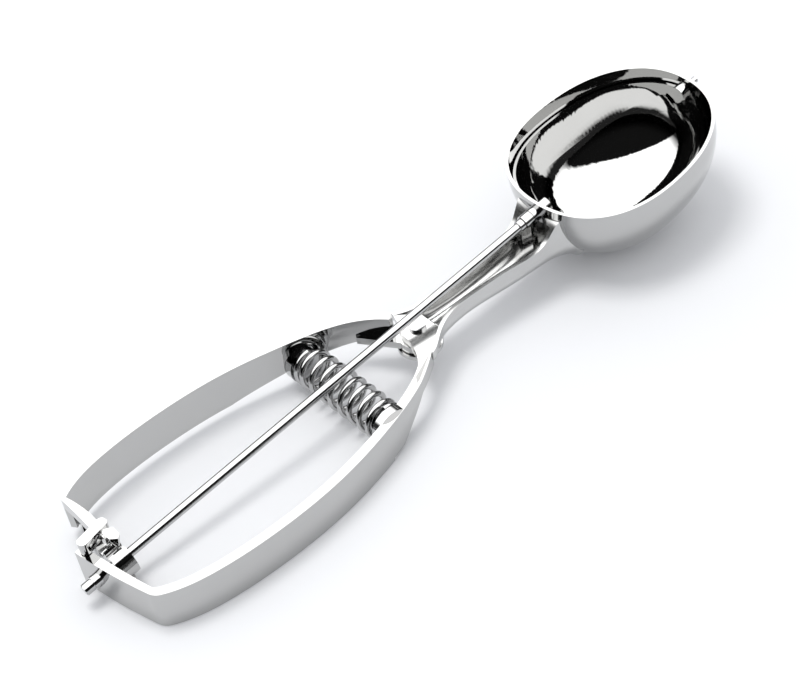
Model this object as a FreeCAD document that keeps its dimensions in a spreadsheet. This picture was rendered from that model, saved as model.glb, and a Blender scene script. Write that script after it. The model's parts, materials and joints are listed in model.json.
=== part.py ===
import FreeCAD, Part
import math
import os
import Sketcher

from FreeCAD import Placement, Rotation, Vector

# Lever ice cream scoop: two squeeze bows, a turning rod with a blade, and a deep egg-shaped bowl.
# Millimetres. Work coordinates: X runs from the rear strap to the bowl, Y to the left bow,
# Z up from the table. Every sub-part is placed by the same rear datum, so the origin lies
# under the middle of the whole object.

doc = FreeCAD.newDocument("ice_cream_scoop")
sheet = doc.addObject("Spreadsheet::Sheet", "sizes")

SIZES = [
    # Places
    ("rear_datum", -108.25, "x of the rear strap in the part's frame"),
    ("side_datum", -0.9, "y of the rod's upright plane in the part's frame"),
    ("hinge_reach", 110.0, "rear strap to the hinge pin"),
    ("bowl_middle", 191.3, "rear datum to the bowl's middle, along the rod"),
    ("rod_pitch", 6.2, "rod's rise towards the bowl, in degrees"),
    ("rod_rear_height", 7.3, "rod's axis above the table at the rear datum"),
    # Bows
    ("bow_height", 12.8, "height of each bow's wall"),
    ("bow_wall", 2.8, "thickness of each bow's wall"),
    ("bow_half_width", 28.0, "rod's plane to the outside of a bow at its widest"),
    ("bow_lift", 4.3, "left bow's height above the right bow"),
    ("bow_opening", 1.5, "how far the left bow stands open at rest, in degrees"),
    ("strap_bulge", 4.3, "how far the rear strap reaches behind the datum"),
    ("corner_radius", 4.5, "outside of each bow's rear corner"),
    # Rod and what turns on it
    ("rod_diameter", 2.8, "turning rod"),
    ("running_gap", 0.05, "radial gap between rod and bush"),
    ("stub_reach", 9.3, "rod's rear end behind the datum"),
    ("gear_module", 0.9, "pinion and rack module"),
    ("gear_teeth", 10, "teeth on a full circle of the pinion"),
    ("gear_addendum", 0.7, "pinion tooth above the pitch circle"),
    ("rack_addendum", 0.5, "rack tooth above the pitch line"),
    ("gear_bottom_gap", 0.2, "gap at the root of the teeth"),
    ("gear_backlash", 0.12, "thinning of each flank"),
    ("pinion_rear", 0.4, "pinion's rear face along the rod"),
    ("pinion_width", 5.2, "pinion's length along the rod"),
    ("cross_pin_diameter", 1.2, "pin through pinion and rod"),
    # Bowl
    ("bowl_half_length", 32.1, "outside, along the rod"),
    ("bowl_radius", 27.4, "outside, around the rod"),
    ("bowl_collar", 3.8, "straight wall from the rod's axis up to the rim"),
    ("bowl_wall", 0.95, "bowl's wall"),
    ("bowl_power", 2.25, "fullness of the bowl's profile"),
    ("bowl_egg", 0.06, "how much wider the rear half is"),
    # Blade
    ("blade_gap", 0.45, "blade to bowl"),
    ("blade_thick", 0.8, "blade thickness"),
    ("blade_span", 27.0, "angle that the blade covers around the rod"),
    ("blade_rest", 4.0, "blade's upper edge below the rod's level at rest, in degrees"),
    ("blade_boss_radius", 2.3, "boss at each end of the blade"),
    ("pivot_diameter", 2.0, "front pivot pin"),
    # Hinge
    ("hinge_pin_diameter", 4.0, "hinge pin"),
    ("hinge_fit", 0.06, "radial gap around the hinge pin"),
    ("tongue_radius", 6.0, "left bow's tongue round the pin"),
    ("tongue_low", 9.0, "underside of the tongue"),
    ("tongue_high", 11.4, "top of the tongue"),
    ("ear_high", 14.2, "top of the ear over the tongue"),
    ("ear_thick", 3.5, "ear's thickness beside the tongue"),
    ("washer_thick", 0.4, "hinge washers"),
    ("floor_thick", 1.4, "neck's floor under the tongue"),
    ("neck_wall", 1.3, "wall of the neck's trough"),
    # Spring
    ("spring_station", 83.0, "rear datum to the spring"),
    ("spring_height", 7.9, "spring's axis above the table"),
    ("spring_radius", 5.35, "spring's coil radius at the wire's middle"),
    ("spring_wire", 1.7, "spring wire"),
    ("spring_turns", 9, "whole turns"),
    ("spring_end_gap", 0.5, "gap between the coils of the end turns"),
    ("seat_radius", 4.2, "spring seat's stud"),
    ("seat_length", 3.0, "spring seat's stud length"),
]

for row, (alias, value, note) in enumerate(SIZES, start=1):
    sheet.set("A%d" % row, note)
    sheet.set("B%d" % row, "%g" % value)
    sheet.setAlias("B%d" % row, alias)
doc.recompute()


def size(alias):
    return float(sheet.get(alias))


# Values that follow from the sheet

PITCH = math.radians(size("rod_pitch"))
SLOPE = math.tan(PITCH)
ROD_RADIUS = size("rod_diameter") / 2
BORE_RADIUS = ROD_RADIUS + size("running_gap")
HINGE_X = size("hinge_reach")
PITCH_RADIUS = size("gear_module") * size("gear_teeth") / 2
TIP_RADIUS = PITCH_RADIUS + size("gear_addendum")
ROOT_RADIUS = PITCH_RADIUS - size("rack_addendum") - size("gear_bottom_gap")
BASE = Vector(size("rear_datum"), size("side_datum"), 0)
AXIS = Vector(math.cos(PITCH), 0, math.sin(PITCH))
UPRIGHT = Vector(-math.sin(PITCH), 0, math.cos(PITCH))
ROD_START = Vector(0, 0, size("rod_rear_height"))
BOWL_AT = size("bowl_middle")


def rod_height(x):
    return size("rod_rear_height") + SLOPE * x


def on_rod(distance, side=0.0, up=0.0):
    return ROD_START + AXIS * distance + Vector(0, side, 0) + UPRIGHT * up


def rod_frame(distance=0.0):
    # Local Z along the rod, local Y to the left bow
    return Placement(on_rod(distance), Rotation(Vector(0, 1, 0), 90 - size("rod_pitch")))


def tube(start, end, outer, inner=0.0):
    solid = Part.makeCylinder(outer, end - start)
    if inner > 0:
        solid = solid.cut(Part.makeCylinder(inner, end - start))
    solid.Placement = rod_frame(start)
    return solid


def add_shape(label, shape):
    item = doc.addObject("Part::Feature", label)
    item.Label = label
    item.Shape = shape.removeSplitter() if shape.ShapeType != "Face" else shape
    item.Placement = Placement(BASE, Rotation())
    return item


def largest(shape):
    return max(shape.Solids, key=lambda solid: solid.Volume)


def curve_through(points):
    spline = Part.BSplineCurve()
    spline.interpolate(points)
    return spline


# Outlines of the bows, in plan. One list serves both bows.

BOW_STATIONS = [
    # share of the hinge reach, share of the half width
    (0.005, 0.74),
    (0.06, 0.85),
    (0.17, 0.953),
    (0.345, 1.0),
    (0.545, 0.951),
    (0.727, 0.796),
    (0.882, 0.573),
]
RIGHT_END = (0.966, 0.372)
LEFT_END = (0.972, 0.265)


def bow_side(end, side, opening=0.0):
    # Wall between an outer spline and its parallel inner spline
    half = size("bow_half_width")
    turn = Rotation(Vector(0, 0, 1), -opening)
    hinge = Vector(HINGE_X, 0, 0)
    outer_points = [
        hinge + turn.multVec(Vector(a * HINGE_X, b * half * side, 0) - hinge)
        for a, b in BOW_STATIONS + [end]
    ]
    outer = curve_through(outer_points)
    inner_points = []
    for point in outer_points:
        tangent = outer.tangent(outer.parameter(point))[0]
        normal = Vector(tangent.y, -tangent.x, 0) * side
        inner_points.append(point + normal * size("bow_wall"))
    inner = curve_through(inner_points)
    ends = [
        Part.makeLine(outer_points[-1], inner_points[-1]),
        Part.makeLine(inner_points[0], outer_points[0]),
    ]
    face = Part.Face(Part.Wire([outer.toShape(), ends[0], inner.toShape(), ends[1]]))
    return face, outer_points, inner_points


def raised(face, low, high):
    solid = face.extrude(Vector(0, 0, high - low))
    solid.translate(Vector(0, 0, low))
    return solid


SPAN = 2 * size("bow_half_width")
HIGH = size("bow_height") + SPAN


def side_cut(points):
    # Prism across the whole width, from a profile of (x, z) points
    corners = [Vector(x, -SPAN, z) for x, z in points]
    return Part.Face(Part.makePolygon(corners + corners[:1])).extrude(Vector(0, 2 * SPAN, 0))


def plan_wire(points, height=0.0):
    return Part.makePolygon([Vector(x, y, height) for x, y in points + points[:1]])


def rounded(prism, corners, radius):
    # Round the upright edges that stand on the given points of the plan
    edges = []
    for edge in prism.Edges:
        foot = edge.valueAt(edge.FirstParameter)
        upright = abs(edge.tangentAt(edge.FirstParameter).z) > 0.99
        if upright and any(math.hypot(foot.x - p.x, foot.y - p.y) < 0.05 for p in corners):
            edges.append(edge)
    return prism.makeFillet(radius, edges)


def strap_face(outer, inner):
    # Strap between two three-point arcs given as lists of (x, y)
    a = [Vector(x, y, 0) for x, y in outer]
    b = [Vector(x, y, 0) for x, y in inner]
    return Part.Face(Part.Wire([
        Part.Arc(a[0], a[1], a[2]).toShape(),
        Part.makeLine(a[2], b[2]),
        Part.Arc(b[2], b[1], b[0]).toShape(),
        Part.makeLine(b[0], a[0]),
    ]))


def hinge_arc(radius, low_y, high_y):
    # Three points of an arc about the hinge pin, behind it
    middle = (low_y + high_y) / 2
    return [(HINGE_X - math.sqrt(radius ** 2 - y ** 2), y) for y in (low_y, middle, high_y)]


def hinge_disc(radius, low, high):
    return Part.makeCylinder(radius, high - low, Vector(HINGE_X, 0, low))


# Bowl: an egg turned about the rod's axis below, and a straight collar above it

def bowl_profile(inset):
    # Half outline from the rear pole to the front pole, (distance along the rod, radius)
    half = size("bowl_half_length") - inset
    radius = size("bowl_radius") - inset
    power = size("bowl_power")
    points = []
    for step in range(13):
        turn = math.pi * step / 12
        along = -math.cos(turn)
        across = abs(math.sin(turn)) ** (2 / power)
        along = math.copysign(abs(along) ** (2 / power), along)
        points.append((BOWL_AT + half * along, radius * across * (1 - size("bowl_egg") * along)))
    return points


def bowl_solid(inset, collar):
    points = [Vector(0, r, u) for u, r in bowl_profile(inset)]
    edge = curve_through(points).toShape()
    half_face = Part.Face(Part.Wire([edge, Part.makeLine(points[-1], points[0])]))
    lower = half_face.revolve(Vector(0, 0, 0), Vector(0, 0, -1), 180)
    mirrored = curve_through([Vector(0, -p.y, p.z) for p in reversed(points)]).toShape()
    plan = Part.Face(Part.Wire([edge, mirrored]))
    upper = plan.extrude(Vector(-collar, 0, 0))
    solid = lower.fuse(upper).removeSplitter().Solids[0]
    solid.Placement = rod_frame(0)
    return solid


POLE_REAR = BOWL_AT - size("bowl_half_length")
POLE_FRONT = BOWL_AT + size("bowl_half_length")
BUSH_RADIUS = BORE_RADIUS + 0.9
PIVOT_RADIUS = size("pivot_diameter") / 2

bowl_outer = bowl_solid(0, size("bowl_collar"))
bowl_inner = bowl_solid(size("bowl_wall"), size("bowl_collar") + 5)
bowl = bowl_outer.cut(bowl_inner)
bowl = bowl.cut(tube(POLE_REAR - 5, POLE_REAR + 5, BUSH_RADIUS))
bowl = bowl.cut(tube(POLE_FRONT - 5, POLE_FRONT + 5, PIVOT_RADIUS + size("running_gap")))
add_shape("bowl", bowl)

# Neck: an open trough from the hinge to the bowl, with a floor and an ear for the hinge

NECK_STATIONS = [
    # share of the way from the bow's end to the bowl, distance past that, half width, bottom, top
    (0.0, 0, 11.0, 7.6, 14.2),
    (0.068, 0, 9.3, 7.7, 14.4),
    (0.125, 0, 7.3, 8.0, 15.0),
    (0.2, 0, 5.6, 8.6, 16.0),
    (0.307, 0, 4.7, 9.1, 16.8),
    (0.498, 0, 4.8, 9.1, 16.9),
    (0.708, 0, 5.9, 8.6, 17.3),
    (1.0, -7.3, 6.8, 8.7, 17.6),
    (1.0, -4.2, 7.2, 8.8, 19.0),
    (1.0, -1.3, 7.8, 8.8, 22.4),
    (1.0, 1.85, 8.8, 8.4, 25.4),
    (1.0, 6.8, 12.5, 6.4, 27.0),
]
NECK_WALL = size("neck_wall")
NECK_REAR = RIGHT_END[0] * HINGE_X - 0.3
NECK_SPAN = POLE_REAR * math.cos(PITCH) - NECK_REAR


def trough_section(x, half, bottom, top):
    # Straight sides above a half ellipse, drawn with two arcs and a flat bottom
    bend = min(half * 0.75, (top - bottom) * 0.75)
    diagonal = bend * (1 - math.sqrt(0.5))
    left_side = Part.makeLine(Vector(x, half, top), Vector(x, half, bottom + bend))
    left_bend = Part.Arc(
        Vector(x, half, bottom + bend),
        Vector(x, half - diagonal, bottom + diagonal),
        Vector(x, half - bend, bottom),
    ).toShape()
    flat = Part.makeLine(Vector(x, half - bend, bottom), Vector(x, bend - half, bottom))
    right_bend = Part.Arc(
        Vector(x, bend - half, bottom),
        Vector(x, diagonal - half, bottom + diagonal),
        Vector(x, -half, bottom + bend),
    ).toShape()
    right_side = Part.makeLine(Vector(x, -half, bottom + bend), Vector(x, -half, top))
    lid = Part.makeLine(Vector(x, -half, top), Vector(x, half, top))
    return Part.Wire([left_side, left_bend, flat, right_bend, right_side, lid])


def trough_solid(inset, lift):
    sections = []
    for share, past, half, bottom, top in NECK_STATIONS:
        x = NECK_REAR + share * NECK_SPAN + past
        sections.append(trough_section(x, half - inset, bottom + inset, top + lift))
    return Part.makeLoft(sections, True, False)


FLOOR_LOW = size("tongue_low") - size("washer_thick") - size("floor_thick")
FLOOR_HIGH = size("tongue_low") - size("washer_thick")
EAR_LOW = size("tongue_high") + size("washer_thick")
EAR_HIGH = size("ear_high")
POCKET_RADIUS = size("tongue_radius") + 0.5
PIN_HEAD = size("hinge_pin_diameter") / 2 + 0.5
PIN_SINK = 0.5
SADDLE_REAR = POLE_REAR - 5.6
SADDLE_FRONT = POLE_REAR - 2.6
BUSH_START = SADDLE_FRONT + 0.2
TROUGH_END = SADDLE_FRONT + 0.7


def ear_prism(low, high, back=0.0):
    # Ear round the hinge pin: a concave rear edge from the right bow, then the left bow's gap
    def at(x, y):
        return Vector(HINGE_X + x - back, y, 0)

    rear_start = at(-13.4, -14.5)
    rear_end = at(-5.1, 0.8)
    corners = [
        rear_end, at(-2.8, 5.0), at(-1.4, 9.2), at(-0.5, 8.6), at(3.0, 6.3), at(4.0, 5.4),
        at(4.0, -5.4), at(3.0, -6.3), at(-0.5, -8.6), at(-3.6, -10.0), rear_start,
    ]
    edges = [Part.Arc(rear_start, at(-5.9, -4.4), rear_end).toShape()]
    edges += [Part.makeLine(a, b) for a, b in zip(corners, corners[1:])]
    return raised(Part.Face(Part.Wire(edges)), low, high)


neck = trough_solid(0, 0)
hollow = trough_solid(NECK_WALL, HIGH)
hollow = hollow.cut(side_cut([
    (TROUGH_END, 0), (POLE_FRONT, 0), (POLE_FRONT, 2 * HIGH), (TROUGH_END, 2 * HIGH)]))
neck = neck.cut(hollow)
tongue_way = Part.makeBox(12, SPAN, EAR_LOW - FLOOR_HIGH, Vector(HINGE_X - 8.5, -5, FLOOR_HIGH))
left_end_way = Part.makeBox(7, SPAN, HIGH, Vector(HINGE_X - 8.5, 0, EAR_LOW))
neck = neck.cut(tongue_way.fuse(left_end_way))
neck = neck.cut(side_cut([
    (HINGE_X - 10, 0), (HINGE_X + 4, 0), (HINGE_X + 4, FLOOR_LOW), (HINGE_X - 10, FLOOR_LOW)]))
neck = neck.fuse(ear_prism(EAR_HIGH - size("ear_thick"), EAR_HIGH))
neck = neck.cut(hinge_disc(POCKET_RADIUS, FLOOR_HIGH, EAR_LOW))
neck = neck.cut(Part.makeBox(12, SPAN, EAR_LOW - FLOOR_HIGH, Vector(HINGE_X - 8.5, 0, FLOOR_HIGH)))
neck = neck.fuse(hinge_disc(POCKET_RADIUS + 0.2, FLOOR_LOW, FLOOR_HIGH))
neck = neck.cut(bowl_outer)
neck = neck.cut(tube(SADDLE_REAR, POLE_REAR + 5, BUSH_RADIUS))
neck = neck.cut(hinge_disc(size("hinge_pin_diameter") / 2, 0, HIGH))
neck = neck.cut(hinge_disc(PIN_HEAD, EAR_HIGH - PIN_SINK, HIGH))
neck = neck.cut(tube(0, SADDLE_REAR, ROD_RADIUS + 0.5))
neck = largest(neck)

# Saddle that carries the rod behind the bowl

SADDLE_HALF = 2.3
saddle = Part.makeBox(
    SADDLE_FRONT - SADDLE_REAR - 0.8, 2 * SADDLE_HALF, HIGH, Vector(SADDLE_REAR, -SADDLE_HALF, 0))
saddle = saddle.common(trough_solid(NECK_WALL, HIGH))
saddle = saddle.cut(side_cut([
    (SADDLE_REAR - 1, rod_height(SADDLE_REAR - 1)),
    (SADDLE_FRONT + 1, rod_height(SADDLE_FRONT + 1)),
    (SADDLE_FRONT + 1, 2 * HIGH),
    (SADDLE_REAR - 1, 2 * HIGH),
]))
saddle = saddle.fuse(tube(SADDLE_REAR, SADDLE_FRONT, SADDLE_HALF))
saddle = saddle.cut(tube(HINGE_X, POLE_REAR + 5, BORE_RADIUS))
saddle = saddle.cut(neck)
add_shape("rod_saddle", saddle)

# Right bow, welded to the neck

right_face, right_outer, right_inner = bow_side(RIGHT_END, -1)
bulge = size("strap_bulge")
wall = size("bow_wall")
STRAP_END = (-bulge - 1.1, 7.2)
right_strap = strap_face(
    [(right_outer[0].x, right_outer[0].y), (-bulge, 0.0), STRAP_END],
    [(right_inner[0].x, right_inner[0].y), (wall - bulge, 0.0), (STRAP_END[0] + wall, STRAP_END[1])],
)
right_handle = raised(right_face, 0, EAR_HIGH).fuse(raised(right_strap, 0, EAR_HIGH))
right_handle = right_handle.removeSplitter()
right_handle = rounded(right_handle, right_outer[:1], size("corner_radius"))
right_handle = rounded(right_handle, right_inner[:1], size("corner_radius") - wall)
right_handle = right_handle.cut(side_cut([
    # Level top that climbs to the ear before the hinge
    (-SPAN, size("bow_height")), (HINGE_X - 13, size("bow_height")), (HINGE_X - 4, EAR_HIGH),
    (HINGE_X, HIGH), (-SPAN, HIGH),
]))
right_handle = right_handle.cut(side_cut([
    # Underside with a step before the hinge
    (HINGE_X - 31.5, -5), (HINGE_X - 30.5, 0.9), (HINGE_X - 25.5, 1.1), (HINGE_X - 20, 4.6),
    (HINGE_X - 13, 8.7), (HINGE_X - 7, 9.0), (HINGE_X + 2, 9.0), (HINGE_X + 2, -5),
]))
rear_bush_radius = BORE_RADIUS + 0.6
rear_bush_start = -bulge - 2.0
right_handle = right_handle.cut(tube(rear_bush_start, wall, rear_bush_radius))
right_handle = largest(right_handle.cut(neck))
add_shape("right_handle", right_handle)
add_shape("neck", neck)

# Left bow: wall, strip over the pinion, guide head and hinge tongue


def seat_lug():
    # Disc of wall around the spring's seat
    centre = Vector(size("spring_station"), -SPAN, size("spring_height"))
    return Part.makeCylinder(size("spring_radius") + 0.3, 2 * SPAN, centre, Vector(0, 1, 0))


LEFT_LOW = size("bow_lift")
LEFT_HIGH = size("bow_lift") + size("bow_height")
STRIP_LOW = size("bow_height") + 0.65
STRAP_RADIUS = HINGE_X - 0.6

left_face, left_outer, left_inner = bow_side(LEFT_END, 1, size("bow_opening"))
left_wall = raised(left_face, LEFT_LOW, LEFT_HIGH)
left_wall = left_wall.cut(side_cut([
    (HINGE_X - 55, 0), (HINGE_X - 50, LEFT_LOW + 0.1), (HINGE_X - 35, LEFT_LOW + 2.2),
    (HINGE_X - 22, LEFT_LOW + 4.0), (HINGE_X - 13, FLOOR_HIGH + 0.5),
    (HINGE_X + 2, FLOOR_HIGH + 0.5), (HINGE_X + 2, -5), (HINGE_X - 55, -5),
]))
left_wall = left_wall.fuse(raised(left_face, 0, LEFT_HIGH).common(seat_lug()))
strip_plan = strap_face(
    [(left_outer[0].x, left_outer[0].y)] + hinge_arc(STRAP_RADIUS, 5.0, 15.0)[1::-1],
    [(left_inner[0].x, left_inner[0].y)] + hinge_arc(STRAP_RADIUS - wall, 5.0, 15.0)[1::-1],
)
left_handle = left_wall.fuse(raised(strip_plan, STRIP_LOW, LEFT_HIGH))
left_plan = raised(left_face, 0, LEFT_HIGH).fuse(raised(strip_plan, 0, LEFT_HIGH)).removeSplitter()
left_handle = left_handle.common(rounded(left_plan, left_outer[:1], size("corner_radius")))

# Guide head that rides on the right strap, with the six-sided stop block beyond it

HEAD_LOW = size("bow_height") + 0.3
HEAD_AT = Vector(0.55, 5.8, 0)
HEAD_TURN = 13
BLOCK_TOP = [(3.1, 4.1), (5.4, 2.9), (5.3, -0.4), (4.0, -1.5), (2.3, 0.0), (2.1, 3.2)]
BLOCK_TAPER = 0.7
BLOCK_FOOT = (3.3, 1.2)
head = Part.makeBox(10.4, 3.2, LEFT_HIGH - HEAD_LOW, Vector(-5.2, -1.6, HEAD_LOW))
head = head.makeFillet(1.4, [e for e in head.Edges if abs(e.tangentAt(e.FirstParameter).z) > 0.9])
head.rotate(Vector(0, 0, 0), Vector(0, 0, 1), HEAD_TURN)
head.translate(HEAD_AT)
head = head.cut(Part.makeBox(12, 20, STRIP_LOW - HEAD_LOW, Vector(-0.9, -8, HEAD_LOW)))
foot_x, foot_y = BLOCK_FOOT
block_foot = [
    (foot_x + BLOCK_TAPER * (x - foot_x), foot_y + BLOCK_TAPER * (y - foot_y)) for x, y in BLOCK_TOP
]
block = Part.makeLoft(
    [plan_wire(block_foot, STRIP_LOW), plan_wire(BLOCK_TOP, LEFT_HIGH)], True, True)
bridge = Part.makeBox(1.5, 3.6, LEFT_HIGH - STRIP_LOW - 1.2, Vector(1.9, 2.0, STRIP_LOW))
head = head.fuse([block, bridge])
add_shape("guide_head", head)
left_handle = left_handle.cut(head)
left_handle = left_handle.cut(ear_prism(size("tongue_high"), HIGH, 0.8))
tongue = hinge_disc(size("tongue_radius"), size("tongue_low"), size("tongue_high"))
arm = Part.Face(Part.makePolygon([
    Vector(HINGE_X - 2.0, -5.2, 0),
    Vector(HINGE_X - 13.0, 12.5, 0),
    Vector(HINGE_X - 9.0, 12.0, 0),
    Vector(HINGE_X + 2.5, 5.2, 0),
    Vector(HINGE_X - 2.0, -5.2, 0),
]))
left_handle = left_handle.fuse([tongue, raised(arm, size("tongue_low"), size("tongue_high"))])
left_handle = left_handle.cut(hinge_disc(size("hinge_pin_diameter") / 2 + size("hinge_fit"), 0, HIGH))

# Rack: an arm from the left bow's rear corner, with teeth that reach under the pinion

RACK_OUTER = HINGE_X - 1.5
RACK_INNER = HINGE_X - 4.2
RACK_MIDDLE = (RACK_OUTER + RACK_INNER) / 2
RATIO = RACK_MIDDLE / PITCH_RADIUS
TOOTH_ANGLE = math.pi * size("gear_module") / RACK_MIDDLE
RACK_TOP = rod_height(HINGE_X - RACK_MIDDLE) - PITCH_RADIUS / math.cos(PITCH)
RACK_TEETH = range(-1, 6)
RACK_ROOT = RACK_TOP - size("gear_addendum") - size("gear_bottom_gap")
RACK_LOW = 0.7
pressure = math.radians(20)


def rack_tooth(index):
    # A prism along the rod's direction, turned about the hinge to its place
    half = math.pi * size("gear_module") / 4 - size("gear_backlash")
    above = size("rack_addendum")
    below = size("gear_addendum") + size("gear_bottom_gap") + 0.3
    tip = half - above * math.tan(pressure)
    foot = half + below * math.tan(pressure)
    corners = [(-foot, -below), (-tip, above), (tip, above), (foot, -below)]
    wire = Part.makePolygon([Vector(0, y, z) for y, z in corners + corners[:1]])
    prism = Part.Face(wire).extrude(AXIS * 12)
    contact = Vector(HINGE_X - RACK_MIDDLE, 0, RACK_TOP)
    prism.translate(contact - AXIS * 6)
    prism.rotate(Vector(HINGE_X, 0, 0), Vector(0, 0, 1), -math.degrees(index * TOOTH_ANGLE))
    return prism


def ring_part(inner, outer, start, end, low, high):
    # Sector of a ring about the hinge pin, behind it; angles in degrees towards the left bow
    ring = Part.makeCylinder(outer, high - low, Vector(0, 0, 0), Vector(0, 0, 1), end - start)
    ring = ring.cut(Part.makeCylinder(inner, high - low))
    ring.rotate(Vector(0, 0, 0), Vector(0, 0, 1), 180 - end)
    ring.translate(Vector(HINGE_X, 0, low))
    return ring


tooth_degrees = math.degrees(TOOTH_ANGLE)
RACK_START = -1.55 * tooth_degrees
RACK_END = 5.6 * tooth_degrees
rack = ring_part(RACK_INNER, RACK_OUTER, RACK_START, RACK_END, RACK_LOW, RACK_ROOT)
ring_window = ring_part(RACK_INNER, RACK_OUTER, RACK_START, RACK_END, RACK_LOW, RACK_TOP + 3)
for index in RACK_TEETH:
    rack = rack.fuse(rack_tooth(index).common(ring_window))
corner_degrees = math.degrees(math.asin((left_inner[0].y + 0.6) / RACK_MIDDLE))
rack_arm = ring_part(RACK_INNER, RACK_OUTER, RACK_END, corner_degrees, RACK_LOW, RACK_ROOT)
rack_post = ring_part(
    RACK_INNER, RACK_OUTER, corner_degrees - 1.6, corner_degrees, RACK_LOW, LEFT_LOW + 5)
rack = rack.fuse([rack_arm, rack_post])
rack = rack.cut(left_handle)
left_handle = largest(left_handle)
add_shape("left_handle", left_handle)
add_shape("rack", rack)

# Pinion: a sector gear, its smooth part towards the right bow


def involute(radius, side, shift):
    # Point of an involute flank, (y, z) with the tooth's middle on +Y
    base = PITCH_RADIUS * math.cos(pressure)
    radius = max(radius, base)
    lean = math.acos(base / radius)
    spread = math.tan(lean) - lean
    angle = side * (shift - spread)
    return radius, angle


def pinion_gap(turn):
    # The space between two teeth, from under the root to past the tip
    at_pitch = math.tan(pressure) - pressure
    half_tooth = math.pi / (2 * size("gear_teeth")) - size("gear_backlash") / PITCH_RADIUS
    shift = half_tooth + at_pitch
    step = 2 * math.pi / size("gear_teeth")
    radii = [PITCH_RADIUS * math.cos(pressure), PITCH_RADIUS, TIP_RADIUS, TIP_RADIUS + 0.5]
    one, two = [], []
    for radius in radii:
        r, a = involute(radius, 1, shift)
        one.append((r, a - step / 2))
        two.append((r, step / 2 - a))
    root = [(ROOT_RADIUS, one[0][1]), (ROOT_RADIUS, 0.0), (ROOT_RADIUS, two[0][1])]

    def place(pair):
        r, a = pair
        return Vector(r * math.sin(a + turn), r * math.cos(a + turn), 0)

    low = [place(p) for p in root]
    left = [place(p) for p in one]
    right = [place(p) for p in two]
    edges = [
        Part.Arc(low[0], low[1], low[2]).toShape(),
        Part.makeLine(low[2], right[0]),
        curve_through(right).toShape(),
        Part.makeLine(right[-1], left[-1]),
        curve_through(left).toShape(),
        Part.makeLine(left[0], low[0]),
    ]
    face = Part.Face(Part.Wire(Part.__sortEdges__(edges)))
    return face.extrude(Vector(0, 0, 2 * size("pinion_width")))


pinion = Part.makeCylinder(TIP_RADIUS, size("pinion_width"))
pinion = pinion.cut(Part.makeCylinder(ROD_RADIUS, size("pinion_width")))
pinion.Placement = rod_frame(size("pinion_rear"))
gap_turn = 2 * math.pi / size("gear_teeth")
for index in RACK_TEETH:
    gap = pinion_gap(math.pi / 2 - index * gap_turn)
    gap.Placement = rod_frame(size("pinion_rear") - size("pinion_width") / 2)
    pinion = pinion.cut(gap)
cross_pin = Part.makeCylinder(size("cross_pin_diameter") / 2, 2 * TIP_RADIUS - 0.6)
cross_pin.translate(Vector(0, 0, 0.3 - TIP_RADIUS))
cross_pin.rotate(Vector(0, 0, 0), Vector(1, 0, 0), 90)
cross_pin.Placement = rod_frame(size("pinion_rear") + size("pinion_width") - 1.3).multiply(
    cross_pin.Placement)
pinion = pinion.cut(cross_pin)
add_shape("pinion", pinion)
add_shape("pinion_pin", cross_pin)

# Rod, with its end cap behind the right strap and the boss inside the bowl

BOSS_REAR = POLE_REAR + size("bowl_wall") + 0.35
BOSS_LENGTH = 3.0
rod = tube(-size("stub_reach"), BOSS_REAR + BOSS_LENGTH, ROD_RADIUS)
rod = rod.cut(cross_pin)
add_shape("rod", rod)

# Blade: a lune between the bosses, turned about the rod's axis


def blade_shell():
    gap = size("bowl_wall") + size("blade_gap")
    outer = [Vector(0, r, u) for u, r in bowl_profile(gap)]
    inner = [Vector(0, r, u) for u, r in bowl_profile(gap + size("blade_thick"))]
    face = Part.Face(Part.Wire([
        curve_through(outer).toShape(),
        Part.makeLine(outer[-1], inner[-1]),
        curve_through(inner).toShape(),
        Part.makeLine(inner[0], outer[0]),
    ]))
    face.rotate(Vector(0, 0, 0), Vector(0, 0, -1), size("blade_rest"))
    return face.revolve(Vector(0, 0, 0), Vector(0, 0, -1), size("blade_span"))


blade = blade_shell()
blade.Placement = rod_frame(0)
rear_boss = tube(BOSS_REAR, BOSS_REAR + BOSS_LENGTH, size("blade_boss_radius"), ROD_RADIUS)
front_start = POLE_FRONT - size("bowl_wall") - 0.35 - BOSS_LENGTH
front_boss = tube(front_start, front_start + BOSS_LENGTH, size("blade_boss_radius"))
blade = blade.fuse([rear_boss, front_boss])
blade = blade.cut(tube(BOSS_REAR - 1, BOSS_REAR + BOSS_LENGTH, ROD_RADIUS))
front_pin = tube(front_start, POLE_FRONT + 3.6, PIVOT_RADIUS)
blade = blade.cut(front_pin)
add_shape("blade", blade)
add_shape("front_pivot", front_pin)

# Coil spring between the bows


def biarc(start, start_way, end, end_way):
    # Two tangent arcs from start to end
    chord = end - start
    both = start_way + end_way
    a = both.dot(both) - 4
    b = -2 * chord.dot(both)
    c = chord.dot(chord)
    reach = (-b - math.sqrt(b * b - 4 * a * c)) / (2 * a)
    if reach < 0:
        reach = (-b + math.sqrt(b * b - 4 * a * c)) / (2 * a)
    knot = (start + start_way * reach + end - end_way * reach) * 0.5
    arcs = []
    for first, last, corner in (
        (start, knot, start + start_way * reach),
        (knot, end, end - end_way * reach),
    ):
        middle = (first + last) * 0.5
        half = (last - first).Length / 2
        rise = (corner - middle).Length
        base = math.atan2(rise, half)
        arcs.append(Part.Arc(first, middle + (corner - middle) * (half * math.tan(base / 2) / rise),
                             last).toShape())
    return arcs


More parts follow.
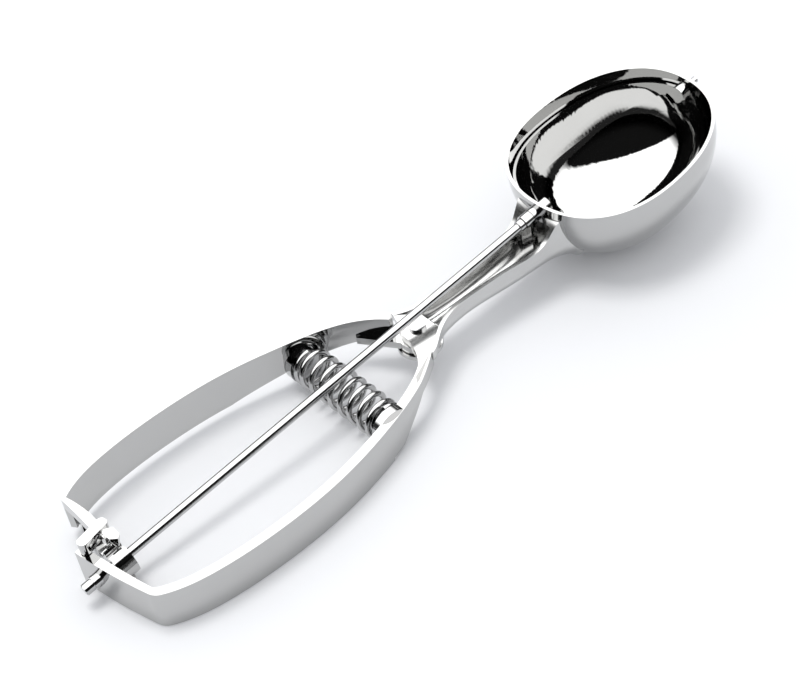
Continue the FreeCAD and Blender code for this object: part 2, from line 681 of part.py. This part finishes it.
def coil(length, radius, turns, wire, quarter_steps=4):
    # Helix along Y whose end turns close up
    steps = int(turns * quarter_steps)
    points, ways = [], []

    def advance(turn):
        # Share of the length at a turn, slower in the first and last turn
        close = wire + size("spring_end_gap")
        rest = (length - wire - 2 * close) / (turns - 2)
        if turn < 1:
            return close * turn
        if turn > turns - 1:
            return length - wire - close * (turns - turn)
        return close + rest * (turn - 1)

    for step in range(steps + 1):
        turn = step / quarter_steps
        angle = 2 * math.pi * turn
        slack = 1e-3
        rate = (advance(min(turn + slack, turns)) - advance(max(turn - slack, 0)))
        rate /= (min(turn + slack, turns) - max(turn - slack, 0)) * 2 * math.pi
        y = advance(turn) + wire / 2
        points.append(Vector(radius * math.sin(angle), y, radius * math.cos(angle)))
        ways.append(Vector(radius * math.cos(angle), rate, -radius * math.sin(angle)).normalize())
    edges = []
    for step in range(steps):
        edges += biarc(points[step], ways[step], points[step + 1], ways[step + 1])
    return Part.Wire(edges), points, ways


SEAT_PLATE = 1.0
SPRING_X = size("spring_station")


def inner_face_y(side):
    # Where the bow's inner face stands at the spring
    face = right_face if side < 0 else left_face
    probe = face.common(Part.makeBox(0.2, 2 * SPAN, 1, Vector(SPRING_X - 0.1, -SPAN, -0.5)))
    return probe.BoundBox.YMax if side < 0 else probe.BoundBox.YMin


seat_right_y = inner_face_y(-1)
seat_left_y = inner_face_y(1)
spring_start = seat_right_y + SEAT_PLATE + 0.3
spring_length = seat_left_y - SEAT_PLATE - 0.3 - spring_start
spine, coil_points, coil_ways = coil(
    spring_length, size("spring_radius"), size("spring_turns"), size("spring_wire"))
section = Part.Wire(Part.makeCircle(size("spring_wire") / 2, coil_points[0], coil_ways[0]))
spring = Part.Wire(spine).makePipeShell([section], True, False)
spring.translate(Vector(SPRING_X, spring_start, size("spring_height")))
expected = math.pi * (size("spring_wire") / 2) ** 2 * spine.Length
samples = [spine.discretize(Number=720)][0]
near = min(
    samples[i].distanceToPoint(samples[j])
    for i in range(0, len(samples), 3)
    for j in range(i + 50, len(samples), 3)
)
print("spring volume share %.4f, least gap to itself %.2f mm"
      % (spring.Volume / expected, near - size("spring_wire")))
add_shape("spring", spring)


def seat(side):
    # Plate against the bow's inner face, with a stud inside the coil
    y = seat_right_y if side < 0 else seat_left_y
    way = Vector(0, -side, 0)
    at = Vector(SPRING_X, y + side * 1.5, size("spring_height"))
    plate = Part.makeCylinder(size("spring_radius") + 0.9, SEAT_PLATE + 1.5, at, way)
    stud = Part.makeCylinder(size("seat_radius"), SEAT_PLATE + 1.5 + size("seat_length"), at, way)
    bow = right_handle if side < 0 else left_handle
    return plate.fuse(stud).cut(bow)


add_shape("right_spring_seat", largest(seat(-1)))
add_shape("left_spring_seat", largest(seat(1)))

# Small turned parts: each a body with sketches and pads, bound to the sheet


def origin_plane(body, role):
    return next(f for f in body.Origin.OriginFeatures if f.Role == role)


def turned_part(label, steps, bore, placement):
    # Stack of round steps (radius expression, start expression, length expression) and a bore
    body = doc.addObject("PartDesign::Body", label)
    body.Label = label
    plane = origin_plane(body, "XY_Plane")
    for number, (radius, start, length) in enumerate(steps):
        sketch = body.newObject("Sketcher::SketchObject", "%s_step_%d" % (label, number))
        sketch.AttachmentSupport = [(plane, "")]
        sketch.MapMode = "FlatFace"
        sketch.setExpression("AttachmentOffset.Base.z", start)
        circle = sketch.addGeometry(Part.Circle(Vector(0, 0, 0), Vector(0, 0, 1), 2.0), False)
        sketch.addConstraint(Sketcher.Constraint("Coincident", circle, 3, -1, 1))
        index = sketch.addConstraint(Sketcher.Constraint("Radius", circle, 2.0))
        sketch.setExpression("Constraints[%d]" % index, radius)
        if bore:
            hole = sketch.addGeometry(Part.Circle(Vector(0, 0, 0), Vector(0, 0, 1), 1.0), False)
            sketch.addConstraint(Sketcher.Constraint("Coincident", hole, 3, -1, 1))
            index = sketch.addConstraint(Sketcher.Constraint("Radius", hole, 1.0))
            sketch.setExpression("Constraints[%d]" % index, bore)
        pad = body.newObject("PartDesign::Pad", "%s_pad_%d" % (label, number))
        pad.Profile = sketch
        pad.setExpression("Length", length)
        doc.recompute()
    body.Placement = placement
    return body


def along_rod(distance):
    place = rod_frame(distance)
    return Placement(place.Base + BASE, place.Rotation)


def upright(height):
    return Placement(BASE + Vector(HINGE_X, 0, height), Rotation())


PIN_RADIUS = "sizes.hinge_pin_diameter / 2"
turned_part("hinge_pin", [
    (PIN_RADIUS, "0 mm", "%g" % (EAR_HIGH - FLOOR_LOW)),
    (PIN_RADIUS + " + 0.9", "-0.9 mm", "0.9 mm"),
    (PIN_RADIUS + " + 0.5", "%g" % (EAR_HIGH - FLOOR_LOW - PIN_SINK), "%g" % (PIN_SINK + 0.9)),
], None, upright(FLOOR_LOW))
for label, height in (("lower_washer", FLOOR_HIGH), ("upper_washer", size("tongue_high"))):
    turned_part(label, [
        ("sizes.tongue_radius - 1", "0 mm", "sizes.washer_thick"),
    ], PIN_RADIUS, upright(height))

turned_part("rear_bush", [
    ("%g" % rear_bush_radius, "0 mm", "%g" % (wall + 2.9)),
], "sizes.rod_diameter / 2 + sizes.running_gap", along_rod(rear_bush_start))
CAP_LENGTH = 2.6
turned_part("end_cap", [
    ("sizes.rod_diameter / 2 + 0.35", "0 mm", "%g" % CAP_LENGTH),
], "sizes.rod_diameter / 2", along_rod(rear_bush_start - 0.2 - CAP_LENGTH))
turned_part("bowl_bush", [
    ("%g" % BUSH_RADIUS, "0 mm", "%g" % (POLE_REAR + size("bowl_wall") - BUSH_START)),
], "sizes.rod_diameter / 2 + sizes.running_gap", along_rod(BUSH_START))
COLLAR_LENGTH = 1.6
turned_part("thrust_collar", [
    ("sizes.rod_diameter / 2 + 0.5", "0 mm", "%g" % COLLAR_LENGTH),
], "sizes.rod_diameter / 2", along_rod(SADDLE_REAR - 0.3 - COLLAR_LENGTH))

doc.recompute()

# Check and write

kept = []
for item in doc.Objects:
    if "Invalid" in item.State or "Error" in item.State:
        raise ValueError("failed: %s" % item.Label)
    if item.TypeId in ("Part::Feature", "PartDesign::Body"):
        kept.append(item)
os.makedirs("parts", exist_ok=True)
for item in kept:
    shape = item.Shape
    if shape.isNull() or not shape.isValid():
        raise ValueError("bad shape: %s" % item.Label)
    print("%-18s solids %d volume %9.1f" % (item.Label, len(shape.Solids), shape.Volume))
for item in kept:
    item.Shape.exportStep("parts/%s.step" % item.Label)
box = Part.makeCompound([item.Shape for item in kept]).optimalBoundingBox(False, False)
print("box x %.2f %.2f y %.2f %.2f z %.2f %.2f" % (
    box.XMin, box.XMax, box.YMin, box.YMax, box.ZMin, box.ZMax))
print("ratio %.4f, bow ratio angle for the blade's sweep %.3f" % (
    RATIO, (180 - 2 * size("blade_rest") - size("blade_span")) / RATIO))
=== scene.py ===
import json
import math

import bmesh
import bpy
from mathutils import Matrix, Vector


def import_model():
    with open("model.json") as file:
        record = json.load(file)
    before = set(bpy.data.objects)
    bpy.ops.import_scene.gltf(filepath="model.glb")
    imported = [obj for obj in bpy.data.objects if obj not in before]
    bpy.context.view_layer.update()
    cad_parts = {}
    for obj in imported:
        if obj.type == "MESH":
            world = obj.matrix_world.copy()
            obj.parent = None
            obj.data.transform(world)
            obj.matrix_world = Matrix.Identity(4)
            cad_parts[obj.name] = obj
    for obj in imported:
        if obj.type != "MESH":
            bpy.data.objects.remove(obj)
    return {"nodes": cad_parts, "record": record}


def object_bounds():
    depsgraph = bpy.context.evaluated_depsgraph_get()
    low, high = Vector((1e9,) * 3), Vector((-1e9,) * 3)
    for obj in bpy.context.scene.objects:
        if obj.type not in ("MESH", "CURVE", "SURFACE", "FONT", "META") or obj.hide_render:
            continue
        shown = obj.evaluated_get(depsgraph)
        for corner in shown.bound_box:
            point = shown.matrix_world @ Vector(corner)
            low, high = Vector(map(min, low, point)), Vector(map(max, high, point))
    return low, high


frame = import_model()
cad_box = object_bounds()
MM = 0.001

# Where the source's own zero lies in the row's frame, in millimetres
REAR_X = -108.25
SIDE_Y = -0.9


# Materials

METAL_IOR = 2.5
# Handling marks: a cloudy noise that spreads the roughness and dulls the colour
CLOUD_SCALE = 60
CLOUD_DETAIL = 4
CLOUD_RANGE = (0.3, 0.7)
ROUGH_SHARES = (0.7, 1.5)
DULL_SHARE = 0.93
GRAIN_DETAIL = 3


def new_material(name):
    material = bpy.data.materials.new(name)
    material.use_nodes = True
    tree = material.node_tree
    shader = tree.nodes["Principled BSDF"]
    return material, tree, shader


def metal(name, color, rough, grain, grain_scale, bump, stretch=(1, 1, 1)):
    # Cloudy roughness from handling, fine bump from polishing; bump is in millimetres
    material, tree, shader = new_material(name)
    nodes, links = tree.nodes, tree.links
    shader.inputs["Metallic"].default_value = 1.0
    shader.inputs["IOR"].default_value = METAL_IOR
    place = nodes.new("ShaderNodeTexCoord")
    scaled = nodes.new("ShaderNodeMapping")
    scaled.inputs["Scale"].default_value = stretch
    links.new(place.outputs["Object"], scaled.inputs["Vector"])

    cloud = nodes.new("ShaderNodeTexNoise")
    cloud.inputs["Scale"].default_value = CLOUD_SCALE
    cloud.inputs["Detail"].default_value = CLOUD_DETAIL
    links.new(place.outputs["Object"], cloud.inputs["Vector"])
    rough_range = nodes.new("ShaderNodeMapRange")
    rough_range.inputs["From Min"].default_value = CLOUD_RANGE[0]
    rough_range.inputs["From Max"].default_value = CLOUD_RANGE[1]
    rough_range.inputs["To Min"].default_value = rough * ROUGH_SHARES[0]
    rough_range.inputs["To Max"].default_value = rough * ROUGH_SHARES[1]
    links.new(cloud.outputs["Fac"], rough_range.inputs["Value"])
    links.new(rough_range.outputs["Result"], shader.inputs["Roughness"])

    tint = nodes.new("ShaderNodeMix")
    tint.data_type = "RGBA"
    tint.inputs["A"].default_value = (*color, 1)
    tint.inputs["B"].default_value = (*[c * DULL_SHARE for c in color], 1)
    links.new(cloud.outputs["Fac"], tint.inputs["Factor"])
    links.new(tint.outputs["Result"], shader.inputs["Base Color"])

    fine = nodes.new("ShaderNodeTexNoise")
    fine.inputs["Scale"].default_value = grain_scale
    fine.inputs["Detail"].default_value = GRAIN_DETAIL
    links.new(scaled.outputs["Vector"], fine.inputs["Vector"])
    relief = nodes.new("ShaderNodeBump")
    relief.inputs["Strength"].default_value = grain
    relief.inputs["Distance"].default_value = bump * MM
    links.new(fine.outputs["Fac"], relief.inputs["Height"])
    links.new(relief.outputs["Normal"], shader.inputs["Normal"])
    return material


POLISHED = metal("polished_steel", (0.52, 0.52, 0.515), 0.035, 0.05, 90, 0.005)
NECK_METAL = metal("neck_steel", (0.58, 0.58, 0.575), 0.16, 0.1, 90, 0.01)
TURNED = metal("turned_steel", (0.50, 0.50, 0.50), 0.05, 0.2, 900, 0.008, (1, 1, 8))
WIRE = metal("wire_steel", (0.50, 0.50, 0.50), 0.07, 0.4, 700, 0.02)

MATERIAL_OF = {"polished_steel": POLISHED, "turned_steel": TURNED, "spring_steel": WIRE}
OWN_MATERIAL = {"neck": NECK_METAL}

for part in frame["record"]["subparts"]:
    node = frame["nodes"].get(part["node"])
    if node is None:
        continue
    look = OWN_MATERIAL.get(part["node"], MATERIAL_OF[part["material_slot"]])
    node.data.materials.clear()
    node.data.materials.append(look)


# Sharp edges are broken, as polishing leaves them: widths in millimetres, angle in degrees

EDGE_WIDTHS = {
    "left_handle": 0.35, "right_handle": 0.35, "guide_head": 0.3,
    "rod_saddle": 0.2, "hinge_pin": 0.35, "end_cap": 0.3, "rear_bush": 0.2,
    "thrust_collar": 0.2, "blade": 0.12,
}
EDGE_SEGMENTS = 2
SHARP_ANGLE = 35


def soften(name, width):
    item = frame["nodes"].get(name)
    if item is None:
        return
    bevel = item.modifiers.new("soft_edges", "BEVEL")
    bevel.width = width * MM
    bevel.segments = EDGE_SEGMENTS
    bevel.limit_method = "ANGLE"
    bevel.angle_limit = math.radians(SHARP_ANGLE)
    bevel.harden_normals = False


for name, width in EDGE_WIDTHS.items():
    soften(name, width)


# Floor, light and camera

FLOOR_HALF = 4
FLOOR_GAP = 0.2 * MM
FLOOR_COLOR = (0.93, 0.93, 0.94)
FLOOR_ROUGH = 0.6
FLOOR_SPECULAR = 0.2
# Light that falls on the floor, and the brighter studio that the metal reflects
FILL_STRENGTH = 0.82
FILL_COLOR = (0.95, 0.97, 1.0)
STUDIO_STRENGTH = 2.7
# Brightness of the studio from the horizon (0) to straight overhead (1)
HEIGHT_STOPS = [
    (0.0, 0.02), (0.35, 0.02), (0.42, 0.35),
    (0.52, 0.9), (0.66, 1.0), (1.0, 1.0),
]
# Dark oval opening in the studio: its middle, its long direction, half sizes, brightness and soft edge
OPENING_AT = Vector((-0.72, -0.45, 0.53)).normalized()
OPENING_LONG = Vector((1, -0.45, 0))
OPENING_HALF = (0.95, 0.47)
OPENING_LEVEL = 0.004
OPENING_EDGE = 0.04
# Keeps the opening from showing a second time on the studio's far side
FAR_SIDE = 4
KEY_PLACE = (-0.1, 0.2, 1.1)
KEY_SIZE = (0.4, 0.4)
KEY_POWER = 4.5


def floor():
    mesh = bpy.data.meshes.new("floor")
    grid = bmesh.new()
    bmesh.ops.create_grid(grid, x_segments=1, y_segments=1, size=FLOOR_HALF)
    grid.to_mesh(mesh)
    grid.free()
    board = bpy.data.objects.new("floor", mesh)
    bpy.context.collection.objects.link(board)
    low = min(cad_box[0][2], 0.0)
    board.location = (0, 0, low - FLOOR_GAP)
    material, tree, shader = new_material("floor_paper")
    shader.inputs["Base Color"].default_value = (*FLOOR_COLOR, 1)
    shader.inputs["Roughness"].default_value = FLOOR_ROUGH
    shader.inputs["Specular IOR Level"].default_value = FLOOR_SPECULAR
    board.data.materials.append(material)


def area_light(name, place, target, size, power):
    data = bpy.data.lights.new(name, "AREA")
    data.shape = "RECTANGLE"
    data.size, data.size_y = size
    data.energy = power
    lamp = bpy.data.objects.new(name, data)
    bpy.context.collection.objects.link(lamp)
    lamp.location = place
    aim = Vector(target) - Vector(place)
    lamp.rotation_euler = aim.to_track_quat("-Z", "Y").to_euler()
    lamp.visible_glossy = False


def world():
    # White to the camera, an even fill for the floor, and a studio with a dark opening for the metal
    sky = bpy.data.worlds.new("studio")
    bpy.context.scene.world = sky
    sky.use_nodes = True
    nodes, links = sky.node_tree.nodes, sky.node_tree.links
    nodes.clear()

    def background(color, strength):
        node = nodes.new("ShaderNodeBackground")
        node.inputs["Color"].default_value = (*color, 1)
        node.inputs["Strength"].default_value = strength
        return node

    def mixed(factor, first, second):
        node = nodes.new("ShaderNodeMixShader")
        links.new(factor, node.inputs["Fac"])
        links.new(first, node.inputs[1])
        links.new(second, node.inputs[2])
        return node.outputs["Shader"]

    def worked(operation, first, second):
        node = nodes.new("ShaderNodeMath")
        node.operation = operation
        for socket, value in zip(node.inputs, (first, second)):
            if isinstance(value, (int, float)):
                socket.default_value = value
            else:
                links.new(value, socket)
        return node.outputs["Value"]

    def toward(direction):
        node = nodes.new("ShaderNodeVectorMath")
        node.operation = "DOT_PRODUCT"
        node.inputs[1].default_value = direction
        links.new(place.outputs["Generated"], node.inputs[0])
        return node.outputs["Value"]

    place = nodes.new("ShaderNodeTexCoord")
    path = nodes.new("ShaderNodeLightPath")

    levels = nodes.new("ShaderNodeValToRGB")
    ends = levels.color_ramp.elements
    for element, (position, level) in zip(ends, (HEIGHT_STOPS[0], HEIGHT_STOPS[-1])):
        element.position, element.color = position, (level, level, level, 1)
    for position, level in HEIGHT_STOPS[1:-1]:
        ends.new(position).color = (level, level, level, 1)
    links.new(toward((0, 0, 1)), levels.inputs["Fac"])

    across = OPENING_AT.cross(OPENING_LONG).normalized()
    along = across.cross(OPENING_AT)
    reach = worked(
        "ADD",
        worked("POWER", worked("DIVIDE", toward(along), OPENING_HALF[0]), 2),
        worked("POWER", worked("DIVIDE", toward(across), OPENING_HALF[1]), 2),
    )
    behind = worked("LESS_THAN", toward(OPENING_AT), 0)
    reach = worked("ADD", reach, worked("MULTIPLY", behind, FAR_SIDE))
    opening = nodes.new("ShaderNodeMapRange")
    opening.inputs["From Min"].default_value = 1 - OPENING_EDGE
    opening.inputs["From Max"].default_value = 1 + OPENING_EDGE
    opening.inputs["To Min"].default_value = OPENING_LEVEL
    links.new(reach, opening.inputs["Value"])
    both = nodes.new("ShaderNodeVectorMath")
    both.operation = "MULTIPLY"
    links.new(levels.outputs["Color"], both.inputs[0])
    links.new(opening.outputs["Result"], both.inputs[1])

    room = background((1, 1, 1), STUDIO_STRENGTH)
    links.new(both.outputs["Vector"], room.inputs["Color"])
    fill = background(FILL_COLOR, FILL_STRENGTH)
    white = background((1, 1, 1), 1)
    seen = mixed(path.outputs["Is Glossy Ray"], fill.outputs[0], room.outputs[0])
    seen = mixed(path.outputs["Is Camera Ray"], seen, white.outputs[0])
    out = nodes.new("ShaderNodeOutputWorld")
    links.new(seen, out.inputs["Surface"])


# Camera, fitted to the photograph's outlines: angles in degrees, distance and target in
# millimetres, focal length in pixels of the frame's width, sensor in millimetres, clip in metres
CAMERA_AZIMUTH = 56.62
CAMERA_ELEVATION = 44.18
CAMERA_ROLL = 11.14
CAMERA_DISTANCE = 556.2
CAMERA_FOCAL = 1971.6
CAMERA_TARGET = (102.79, -0.44, 13.0)
FRAME_WIDTH = 800
SENSOR_WIDTH = 36
CLIP_START = 0.01


def camera():
    data = bpy.data.cameras.new("camera")
    item = bpy.data.objects.new("camera", data)
    bpy.context.collection.objects.link(item)
    azimuth, elevation, roll = (math.radians(v) for v in (
        CAMERA_AZIMUTH, CAMERA_ELEVATION, CAMERA_ROLL))
    ahead = Vector((
        math.cos(elevation) * math.cos(azimuth),
        math.cos(elevation) * math.sin(azimuth),
        -math.sin(elevation),
    ))
    side = ahead.cross(Vector((0, 0, 1))).normalized()
    down = ahead.cross(side)
    right = side * math.cos(roll) + down * math.sin(roll)
    down = down * math.cos(roll) - side * math.sin(roll)
    target = Vector((CAMERA_TARGET[0] + REAR_X, CAMERA_TARGET[1] + SIDE_Y, CAMERA_TARGET[2])) * MM
    place = target - ahead * CAMERA_DISTANCE * MM
    axes = Matrix((right, -down, -ahead)).transposed().to_4x4()
    item.matrix_world = Matrix.Translation(place) @ axes
    data.sensor_width = SENSOR_WIDTH
    data.lens = CAMERA_FOCAL / FRAME_WIDTH * data.sensor_width
    data.clip_start = CLIP_START
    bpy.context.scene.camera = item


floor()
world()
area_light("soft_key", KEY_PLACE, (0, 0, 0), KEY_SIZE, KEY_POWER)
camera()
bpy.context.scene.view_settings.view_transform = "Standard"
